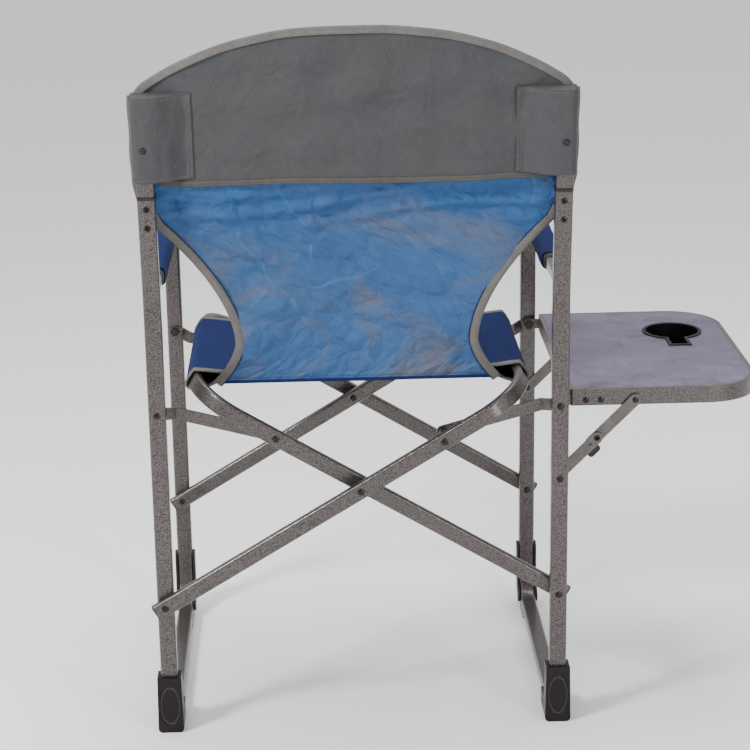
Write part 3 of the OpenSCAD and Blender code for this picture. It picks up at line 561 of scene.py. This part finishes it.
def bump_field(x, z, seed, amp, size):
    """Soft unevenness, mostly within amp: seven seeded sine waves about size apart."""
    share = 0.21037
    rnd = random.Random(seed)
    h = 0
    for _ in range(7):
        a, k = rnd.uniform(0, math.pi), rnd.uniform(0.6, 1.8) / size
        h = h + np.sin(2 * math.pi * k * (x * math.cos(a) + z * math.sin(a)) + rnd.uniform(0, 6.3))
    return share * amp * h


def carry(obj, body):
    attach(obj, body)


def on_back(obj, replaced=()):
    carry(obj, "right_side")
    if replaced:
        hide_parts(*replaced)
    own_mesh(obj)


# The grey top in the posts' frame: heights of its hem and corners, its half width and its arch's rise
HEM, CORNER, HALF_W, RISE = 150.15, 260.0, 268.0, 76.0
POCKET_H, HEM_MID = HEM + 2.5, HEM - 8.5   # lower edges of the pockets and of the cloth between them


def arch(x):
    """Height of the grey top's upper edge."""
    x = np.abs(np.asarray(x, float))
    return CORNER + (RISE + 1) * (1 - (x / HALF_W) ** 2.5) - 8 * np.clip((x - 252) / 16, 0, 1) ** 2


def top_y(x, h):
    """How far behind the posts' middle the grey top is: less than nothing, and least of all at the posts."""
    t = np.clip((h - HEM) / 190, 0, 1)
    inner = np.clip(1 - (np.asarray(x, float) / 235) ** 2, 0, 1)
    folds = 1.9 * np.sin(h / 10.0 + 1.6 * np.sin(x / 75.0) + 0.9) * np.sin(np.pi * t)
    folds = folds * np.clip(inner * 3, 0, 1)
    hem = 1.6 * np.exp(-((h - HEM) / 16) ** 2) * np.sin(x / 27.0 + 0.7) * (inner > 0)
    return -10.6 + bump_field(x, h, 3, 2.2, 110) * np.clip(inner * 4, 0, 1) + folds + hem + 7.0 * inner ** 0.8


def back_top():
    u, v = np.meshgrid(np.linspace(-1, 1, 221), np.linspace(0, 1, 80))
    x = u * (HALF_W - 1.5)
    h = HEM_MID + 2 + (arch(x) - 2 - HEM_MID) * v
    P = leaning(x, top_y(x, h), h)
    obj = sheet_piece("grey_top", P, 2.0, [CANVAS, CANVAS])
    on_back(obj, replaced=["back_top"])
    # Binding over the arch, turned down a little at the corners
    xs = np.linspace(-HALF_W + 1, HALF_W - 1, 131)
    edge = [leaning(-HALF_W - 1.5, -9.6, CORNER - 14)]
    edge += [leaning(x, top_y(x, arch(x)) + 1.0, arch(x)) for x in xs]
    edge += [leaning(HALF_W + 1.5, -9.6, CORNER - 14)]
    edge = resample(np.array(edge), 4.0)
    t = unit(np.gradient(edge, axis=0))
    side = -unit(np.cross(REARWARD, t))
    inside = leaning(0, 0, 200)
    if np.dot(side[len(side) // 2], inside - edge[len(edge) // 2]) < 0:
        side = -side
    obj = sweep("grey_top_binding", edge, side, REARWARD, band(8.5, 1.2, 2.6), [TAUPE])
    on_back(obj)
    for k, d in enumerate((2.2, 6.6)):
        row = (edge + side * d)[4:-4]
        on_back(stitches(f"arch_stitch_{k}", row, REARWARD, [THREAD], lift=2.6))
    # Strips of binding along the two outer edges, which hang below the hem and end in front of the legs
    for end, name in ((-1, "right"), (1, "left")):
        h = np.linspace(HEM - 34, CORNER - 4, 50)
        below = np.clip((HEM - 4 - h) / 30, 0, 1)
        strip = leaning(end * (HALF_W + 1.5 - 6.5 * below + 0.5 * np.sin(h / 9)),
                        -9.0 - 5.5 * np.clip(below * 2.5, 0, 1) + 0.6 * np.sin(h / 14), h)
        obj = sweep(f"grey_top_strip_{name}", strip, (-end, 0, 0), REARWARD, band(3.5, 3.0, 2.0), [TAUPE])
        carry(obj, f"{name}_side")
        obj = stitches(f"strip_stitch_{name}", strip, REARWARD, [THREAD], lift=2.0)
        carry(obj, f"{name}_side")
    # Hem along the lower edge, on the rear face, with its two rows of stitches
    x = np.linspace(-238, 238, 120)
    low = leaning(x, top_y(x, HEM_MID + 3), np.full(120, HEM_MID + 3.5) + 0.9 * np.sin(x / 41))
    obj = sweep("grey_top_hem", low, UPWARD, REARWARD, band(4.4, 3.4, 2.3), [HEM_TAPE])
    on_back(obj)
    for k, d in enumerate((-1.2, 2.4)):
        on_back(stitches(f"hem_stitch_{k}", low + UPWARD * d, REARWARD, [THREAD], lift=2.3))


back_top()


# Section of a pocket: how far out from the chair's middle, and how far behind the post's
POCKET_IN, POCKET_OUT = 196.0, 268.0
POCKET = [(POCKET_IN, -8.6), (202, -7.4), (213, -2.5), (226, 4.2), (238, 8.8), (246, 10.2), (256, 10.6),
          (263, 10.2), (266.6, 7.2), (267.4, 2), (267.6, -3), (267.6, -8.6)]
PROUD = 1.9   # how far a pocket's cloth stays behind the grey top


def pocket_wave(x, h, side):
    across = np.clip((x - POCKET_IN) / (POCKET_OUT - POCKET_IN), 0, 1)
    pull = 1.2 * np.exp(-((x - 222) / 9) ** 2) * np.sin((h - HEM) / 20 + 0.05 * (x - 222))
    return (bump_field(x, h, 5 + (side > 0), 1.3, 55) + pull) * np.sin(np.pi * across)


def pocket(side):
    """The pocket over a post: a patch sewn to the rear of the grey top, swelling over the post."""
    name = "left" if side > 0 else "right"
    sec = resample(np.column_stack([POCKET, np.zeros(len(POCKET))]), 2.4)[:, :2]
    closing = np.array([0.25, 0.55, 0.8, 1.0])
    hh = np.concatenate([np.linspace(POCKET_H, CORNER - 3, 46), CORNER - 2 + closing * 0.8])
    shut = np.concatenate([np.zeros(46), closing])
    S, H = np.meshgrid(np.arange(len(sec)), hh)
    x, y = sec[S, 0], sec[S, 1]
    y = np.where(x < 266, np.maximum(y + pocket_wave(x, H, side), top_y(x, H) + PROUD), y)
    y = y + (np.minimum(y, top_y(x, H) + PROUD) - y) * shut[:, None]
    P = leaning(side * x, y, H)
    if side < 0:
        P = P[:, ::-1]
    obj = sheet_piece(f"pocket_{name}", P, 1.6, [CANVAS, CANVAS])
    carry(obj, f"{name}_side")
    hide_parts(f"post_sleeve_{name}")
    rows = [("edge", [(POCKET_IN + 2.2, h) for h in np.linspace(POCKET_H + 2, CORNER - 4, 30)]),
            ("edge2", [(POCKET_IN + 6.0, h) for h in np.linspace(POCKET_H + 2, CORNER - 8, 30)]),
            ("top", [(a, CORNER - 5.5) for a in np.linspace(POCKET_IN + 2, 258, 30)]),
            ("low", [(a, POCKET_H + 3.0) for a in np.linspace(POCKET_IN + 2, 264, 30)])]
    for tag, pts in rows:
        a, h = np.array(pts).T
        b = np.maximum(np.interp(a, sec[:-6, 0], sec[:-6, 1]) + pocket_wave(a, h, side), top_y(a, h) + PROUD)
        o = stitches(f"pocket_{tag}_{name}", leaning(side * a, b, h), REARWARD, [THREAD], lift=1.0)
        carry(o, f"{name}_side")
    # Folded lower edge of the pocket round the post
    a, b = sec[2:].T
    b = np.maximum(b + pocket_wave(a, POCKET_H, side), top_y(a, POCKET_H) + PROUD)
    base = leaning(side * a, b, POCKET_H)
    outward = unit(np.cross(unit(np.gradient(base, axis=0)), UPWARD))
    o = sweep(f"pocket_hem_{name}", base, UPWARD, outward, band(3.0, 1.5, 1.4), [CANVAS])
    carry(o, f"{name}_side")


pocket(1)
pocket(-1)

# ---- Back lining: the coated inner side faces the rear, navy cloth faces the front ----
HEM_Z, LOW_Y, LOW_Z = 738.0, 134.0, 457.0
HEM_Y = POST_Y + (HEM_Z - LEAN_Z) * math.tan(LEAN) - 12
WAIST_Z, WAIST, TOP_Z, TOP_W, LOW_W = 513.0, 154.0, 676.0, 246.0, 184.0


def half_width(z):
    """Half the lining's width: narrowest at the waist, and on in front of the posts above TOP_Z."""
    z = np.asarray(z, float)
    up = WAIST + (TOP_W - WAIST) * np.clip((z - WAIST_Z) / (TOP_Z - WAIST_Z), 0, 1) ** 1.75
    up = up + 7.0 * np.clip((z - TOP_Z) / 15, 0, 1)
    low = WAIST + (LOW_W - WAIST) * np.clip((WAIST_Z - z) / (WAIST_Z - LOW_Z), 0, 1) ** 1.7
    return np.where(z > WAIST_Z, up, low)


SLOPE = math.atan2(HEM_Y - LOW_Y, HEM_Z - LOW_Z)
BACK_OUT = np.array([0, math.cos(SLOPE), -math.sin(SLOPE)])


def crumple(x, z, seed, step, shown):
    """Flat facets between seeded points: their height from -1 to 1, and lines along some of their borders."""
    rnd = random.Random(seed)
    pts = [Vector((c + rnd.uniform(-0.42, 0.42) * step, r + rnd.uniform(-0.42, 0.42) * step))
           for c in np.arange(-300, 301, step * 1.25) for r in np.arange(400, 801, step)]
    verts, _, tris, source, *_ = delaunay_2d_cdt(pts, [], [], 0, 1e-6)
    tall = [rnd.uniform(-1, 1) for _ in pts]
    tall = [tall[s[0]] for s in source]
    wx = x + 6 * np.sin(z / 23 + 1) + 2.2 * np.sin(z / 7.5)
    wz = z + 6 * np.sin(x / 27) + 2.2 * np.sin(x / 8.5 + 2)
    height, line = np.zeros_like(wx), np.zeros_like(wx)
    borders = set()
    for tri in tris:
        a, b, c = (verts[i] for i in tri)
        area = (b.x - a.x) * (c.y - a.y) - (c.x - a.x) * (b.y - a.y)
        wb = ((wx - a.x) * (c.y - a.y) - (c.x - a.x) * (wz - a.y)) / area
        wc = ((b.x - a.x) * (wz - a.y) - (wx - a.x) * (b.y - a.y)) / area
        wa = 1 - wb - wc
        hit = (wa >= 0) & (wb >= 0) & (wc >= 0)
        height[hit] = (wa * tall[tri[0]] + wb * tall[tri[1]] + wc * tall[tri[2]])[hit]
        borders |= {tuple(sorted((tri[k], tri[k - 1]))) for k in range(3)}
    for i, j in sorted(borders):
        strength = rnd.uniform(0.35, 1) if rnd.random() < shown else 0
        first, last = rnd.uniform(0, 0.4), rnd.uniform(0.5, 1)
        if strength and abs(tall[i] - tall[j]) > 0.25:
            a, d = verts[i], verts[j] - verts[i]
            t = np.clip(((wx - a.x) * d.x + (wz - a.y) * d.y) / d.length_squared, first, last)
            dist = np.hypot(wx - a.x - t * d.x, wz - a.y - t * d.y)
            line = np.maximum(line, strength * np.clip(1.2 - dist / 1.5, 0, 1))
    return height, line


def lining_point(x, z):
    """A point of the lining's middle surface, and how strong a crease line is there."""
    x, z = np.broadcast_arrays(np.asarray(x, float), np.asarray(z, float))
    y = LOW_Y + (z - LOW_Z) * math.tan(SLOPE) - 1.5
    big, line = crumple(x, z, 4, 70, 0.30)
    small, fine_line = crumple(x, z, 9, 30, 0.14)
    edge = np.clip((half_width(z) - np.abs(x)) / 30, 0, 1) * np.clip((z - LOW_Z) / 25, 0, 1)
    under_hem = np.exp(-((z - 697) / 26) ** 2)
    folds = 3.4 * under_hem * np.sin(2 * math.pi * (z + 0.10 * x + 7 * np.sin(x / 60)) / 27)
    middle = np.cos(np.clip(x / half_width(z), -1, 1) * math.pi / 2)
    hollow = -3.0 * middle * np.sin(np.pi * np.clip((z - LOW_Z) / (HEM_Z - LOW_Z), 0, 1))
    y = y + (7.5 * big + 2.6 * small + folds + bump_field(x, z, 21, 1.0, 120)) * edge + hollow
    return np.stack([x, y, z], -1), np.maximum(line, 0.6 * fine_line) * edge


def lining():
    u, v = np.meshgrid(np.linspace(-1, 1, 291), np.linspace(0, 1, 180))
    z = LOW_Z - 2.5 + (HEM_Z + 6 - LOW_Z + 2.5) * v
    x = u * half_width(z)
    P, line = lining_point(x, z)
    P = P[:, ::-1]
    obj = sheet_piece("back_sheet", P, 1.4, [LINING, NAVY, NAVY], line[:, ::-1])
    on_back(obj, replaced=["back_panel"])
    for side in (-1, 1):
        tag = "left" if side > 0 else "right"
        z = np.linspace(LOW_Z, TOP_Z + 16, 90)
        edge, _ = lining_point(side * half_width(z), z)
        t = unit(np.gradient(edge, axis=0))
        inward = unit(np.cross(BACK_OUT, t))
        if inward[40][0] * side > 0:
            inward = -inward
        o = sweep(f"back_binding_{tag}", edge, inward, BACK_OUT, band(9.5, 1.4, 1.9), [TAUPE])
        on_back(o)
        for k, d in enumerate((2.4, 7.4)):
            row = edge + inward * d
            o = stitches(f"back_binding_stitch{k}_{tag}", row, BACK_OUT, [THREAD], lift=1.9)
            on_back(o)
        path = edge + inward * 10.4 + BACK_OUT * 0.9
        round_cord = [(0.8 * math.cos(a), 0.6 * math.sin(a)) for a in np.linspace(0, 2 * math.pi, 9)[:-1]]
        o = sweep(f"back_piping_{tag}", path, inward, BACK_OUT, round_cord, [NAVY_THREAD])
        on_back(o)
    # Seam along the seat's rear edge
    x = np.linspace(-LOW_W + 4, LOW_W - 4, 90)
    low, _ = lining_point(x, np.full(90, LOW_Z - 1.0))
    up = np.array([0, math.sin(SLOPE), math.cos(SLOPE)])
    o = sweep("back_lower_seam", low, up, BACK_OUT, band(2.6, 2.0, 1.7), [NAVY])
    on_back(o)
    on_back(stitches("back_lower_stitch", low + up * 6, BACK_OUT, [NAVY_THREAD], lift=1.0))


lining()

# ---- Seat ----
MID_Z = LOW_PIVOT_Z + ARM * math.sin(OPEN)
RAIL_REACH = 245
RAIL = np.array([RAIL_REACH * math.cos(OPEN), MID_Z + RAIL_REACH * math.sin(OPEN)])
SEAT_Y, SLEEVE_END = 130.0, 128.0
SEAM_X = 166.0


def seat_z(x):
    """Height of the seat, which sags between its two rails."""
    return 471.8 - 15.0 * (1 - (np.asarray(x, float) / 203) ** 2)


def edge_roll(y):
    """How far down the seat's front and rear edges roll."""
    return 1.5 * np.clip((np.abs(y) - 118) / 12, 0, 1) ** 2


def seat_profile(x, y):
    """Top surface of the seat with its shallow ripples and slightly rolled front and rear edges."""
    ripples = 0.9 * np.sin(y / 22 + 0.8 * np.sin(x / 50)) * np.clip(1 - np.abs(x) / 190, 0, 1)
    return seat_z(x) + bump_field(x, y, 31, 0.8, 130) + ripples - edge_roll(y)


def seat():
    y, x = np.meshgrid(np.linspace(-SEAT_Y, SEAT_Y + 2.5, 90), np.linspace(SEAM_X, -SEAM_X, 150))
    P = np.stack([x, y, seat_profile(x, y)], -1)
    P = P[:, ::-1]
    obj = sheet_piece("seat_sheet", P, 1.8, [NAVY, NAVY])
    flip_if_down(obj)

    def blended(o):
        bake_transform(o)

    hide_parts("seat_sling")
    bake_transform(obj)
    for end in (-1, 1):
        tag = "rear" if end > 0 else "front"
        xs = np.linspace(SEAM_X, -SEAM_X, 90)
        yy = SEAT_Y + 1.5 if end > 0 else -SEAT_Y
        edge = np.stack([xs, np.full(90, yy), seat_profile(xs, np.full(90, yy))], -1)
        tape = NAVY if end > 0 else TAUPE
        o = sweep(f"seat_binding_{tag}", edge, (0, -end, 0), (0, 0, 1), band(8.5, 1.4, 2.0), [tape])
        blended(o)
        for k, d in enumerate((2.2, 6.6)):
            row = edge + np.array([0, -end * d, 0])
            o = stitches(f"seat_binding_stitch{k}_{tag}", row, (0, 0, 1), [THREAD], lift=2.0)
            blended(o)
    for side, body in ((1, "cross_p"), (-1, "cross_q")):
        sleeve(side, body)


def flip_if_down(obj):
    n = obj.data.polygons[10].normal
    if n.z < 0:
        obj.data.flip_normals()


def sleeve_section():
    """Loop of the sleeve across the rail, from the sewn seam over the rail and back under it."""
    u = np.array([math.cos(OPEN), math.sin(OPEN)])
    w = np.array([-math.sin(OPEN), math.cos(OPEN)])
    core = [(3, 13.6), (7.4, 11.6), (8.8, 7), (8.9, 0), (8.8, -7), (7.4, -11.6), (3, -13.4),
            (-3, -13.2), (-7.4, -11.2)]
    pts = [(SEAM_X, float(seat_z(SEAM_X)))]
    for xx in np.linspace(SEAM_X + 6, 195, 7):
        pts.append((xx, float(seat_z(xx))))
    pts += [tuple(RAIL + u * a + w * b) for a, b in core]
    last = np.array(pts[-1])
    seam = np.array([SEAM_X, float(seat_z(SEAM_X)) - 2.2])
    for t in np.linspace(0.2, 1, 6):
        q = last * (1 - t) + seam * t
        pts.append((q[0], q[1] - 2.5 * math.sin(math.pi * t)))
    p = np.column_stack([pts, np.zeros(len(pts))])
    return resample(p, 3.0)[:, :2]


def sleeve(side, body):
    tag = "left" if side > 0 else "right"
    sec = sleeve_section()
    centre = sec.mean(0)
    ys = np.linspace(-SEAT_Y, SLEEVE_END, 80)
    J, Y = np.meshgrid(np.arange(len(sec)), ys)
    x, z = sec[J, 0], sec[J, 1]
    wob = 1 + 0.012 * np.sin(Y / 17 + x / 21) + 0.01 * np.sin(Y / 41 + 2)
    free = np.clip((205 - x) / 30, 0, 1) * np.clip((J - 3) / 6, 0, 1)
    x2 = centre[0] + (x - centre[0]) * (1 + (wob - 1) * free)
    z2 = centre[1] + (z - centre[1]) * (1 + (wob - 1) * free * 2)
    z2 = np.where(J <= 7, z2 - edge_roll(Y) * np.clip((200 - x) / 10, 0, 1), z2)
    P = np.stack([side * x2, Y, z2], -1)
    if side < 0:
        P = P[:, ::-1]
    obj = sheet_piece(f"seat_sleeve_{tag}_cloth", P, 1.5, [NAVY, SHADED_INSIDE, NAVY])
    carry(obj, body)
    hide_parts(f"seat_sleeve_{tag}")
    for end, yy in ((-1, -SEAT_Y), (1, SLEEVE_END)):
        etag = "rear" if end > 0 else "front"
        edge = np.stack([side * sec[:, 0], np.full(len(sec), yy), sec[:, 1]], -1)
        t = unit(np.gradient(edge, axis=0))
        outward = unit(np.cross(t, np.array([0, 1, 0])))
        from_centre = edge[len(sec) // 2] - np.array([side * centre[0], yy, centre[1]])
        if np.dot(outward[len(sec) // 2], from_centre) < 0:
            outward = -outward
        o = sweep(f"sleeve_binding_{etag}_{tag}", edge, (0, -end, 0), outward, band(8.0, 1.2, 1.6), [TAUPE])
        carry(o, body)
        for k, d in enumerate((2.0, 6.4)):
            row = edge + np.array([0, -end * d, 0])
            o = stitches(f"sleeve_binding_stitch{k}_{etag}_{tag}", row, outward, [THREAD], lift=1.6)
            carry(o, body)
    for k, xx in enumerate((SEAM_X + 2.5, SEAM_X + 7.5)):
        row = np.array([(side * xx, y, float(seat_z(xx))) for y in np.linspace(-SEAT_Y + 10, 118, 60)])
        o = stitches(f"sleeve_stitch{k}_{tag}", row, (0, 0, 1), [NAVY_THREAD], step=4.0, length=2.8, lift=1.0)
        carry(o, body)


seat()


# ---- Armrests ----
def rounded(w, h, n, power):
    """A rectangle of n points with rounded corners, squarer as power grows."""
    a = np.linspace(0, 2 * math.pi, n, endpoint=False)
    c, s = np.cos(a), np.sin(a)
    r = (np.abs(c) ** power + np.abs(s) ** power) ** (-1 / power)
    return np.stack([w / 2 * r * c, h / 2 * r * s], -1)


def armrest(side):
    tag, body = ("left", "left_side") if side > 0 else ("right", "right_side")
    x0, z0 = side * HALF, 603.0
    # Foam, its ends rounded and drawn in to the tube. The right pad ends further from the rear leg
    foam_end, cover_end = (168, 152) if side > 0 else (128, 112)
    foam_start, cover_start = -152, -151
    ys = np.concatenate([foam_start + np.array([0, 0.8, 3]), np.linspace(foam_start + 7, foam_end - 7, 60),
                         foam_end - np.array([3, 0.8, 0])])
    k = np.interp(ys, ys[[0, 1, 2, 3, -4, -3, -2, -1]], [0.86, 0.93, 0.98, 1, 1, 0.98, 0.93, 0.86])
    base = rounded(26, 20, 40, 3.6)
    sec = [base * f * (1 + 0.006 * math.sin(y / 9)) for f, y in zip(k, ys)]
    path = np.stack([np.full(len(ys), x0), ys, np.full(len(ys), z0)], -1)
    pad = sweep(f"foam_{tag}", path, (1, 0, 0), (0, 0, 1), sec, [FOAM], smooth=50)
    carry(pad, body)
    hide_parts(f"arm_foam_{tag}")
    # Cover: a tube of cloth sewn below, a little slack between its ends
    ys = np.linspace(cover_start, cover_end, 110)
    base = rounded(28.6, 23, 56, 3.2)
    J, Y = np.meshgrid(np.arange(len(base)), ys)
    bx, bz = base[J, 0], base[J, 1]
    ang = np.arctan2(bz, bx)
    near_end = np.clip(1 - np.minimum(Y - cover_start, cover_end - Y) / 26, 0, 1)
    wr = 0.5 * np.sin(Y / 6.5 + 2.2 * np.sin(ang * 2)) * near_end
    wr += 0.45 * np.sin(Y / 31 + 1.3 * ang) + 0.35 * np.sin(Y / 13 - 2 * ang)
    seam = -np.clip(-bz - 10.6, 0, 1) * 1.2 * np.clip(1 - np.abs(bx) / 5, 0, 1)
    f = 1 + (wr + 0.2) / 14
    P = np.stack([x0 + bx * f, Y, z0 + bz * f - seam], -1)
    cover = sheet_piece(f"arm_cover_{tag}", P[:, ::-1], 1.1, [NAVY, SHADED_INSIDE, NAVY], closed=True)
    carry(cover, body)
    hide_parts(f"arm_sleeve_{tag}")
    for n, dx in enumerate((-2.4, 2.4)):
        row = np.array([(x0 + dx, y, z0 - 11.9) for y in np.linspace(-146, cover_end - 6, 60)])
        o = stitches(f"arm_seam{n}_{tag}", row, (0, 0, -1), [NAVY_THREAD], step=4, length=2.8, lift=0.5)
        carry(o, body)


armrest(1)
armrest(-1)


# ---- Floor and light ----
def area_light(name, loc, target, size, power):
    d = bpy.data.lights.new(name, "AREA")
    d.shape, d.size, d.size_y = "RECTANGLE", size[0], size[1]
    d.energy = power
    o = bpy.data.objects.new(name, d)
    bpy.context.collection.objects.link(o)
    o.location = loc
    o.rotation_euler = (Vector(target) - Vector(loc)).to_track_quat("-Z", "Y").to_euler()


def floor():
    me = bpy.data.meshes.new("floor")
    s = 12
    me.from_pydata([(-s, -s, 0), (s, -s, 0), (s, s, 0), (-s, s, 0)], [], [(0, 1, 2, 3)])
    o = bpy.data.objects.new("floor", me)
    bpy.context.collection.objects.link(o)
    m, _, b = start("floor", Roughness=0.9)
    b.inputs["Base Color"].default_value = (0.86, 0.86, 0.87, 1)
    me.materials.append(m)


floor()
w = bpy.data.worlds.new("studio")
w.use_nodes = True
wt = w.node_tree
up = node(wt, "ShaderNodeSeparateXYZ", {0: node(wt, "ShaderNodeTexCoord").outputs["Generated"]}).outputs[2]
sky = ramp(wt, up, [(0.0, (0.55, 0.55, 0.56)), (0.3, (0.60, 0.60, 0.61)), (0.8, (1.0, 1.0, 1.0))])
wt.links.new(sky, wt.nodes["Background"].inputs[0])
wt.nodes["Background"].inputs[1].default_value = 1.15
bpy.context.scene.world = w
area_light("key", (2.0, 1.5, 2.0), (0, 0.1, 0.5), (0.5, 0.5), 85)
area_light("fill", (-1.4, 2.2, 1.0), (0, 0, 0.45), (0.5, 1.4), 26)
area_light("top", (0.0, -0.4, 2.6), (0, 0, 0.4), (1.6, 1.2), 40)
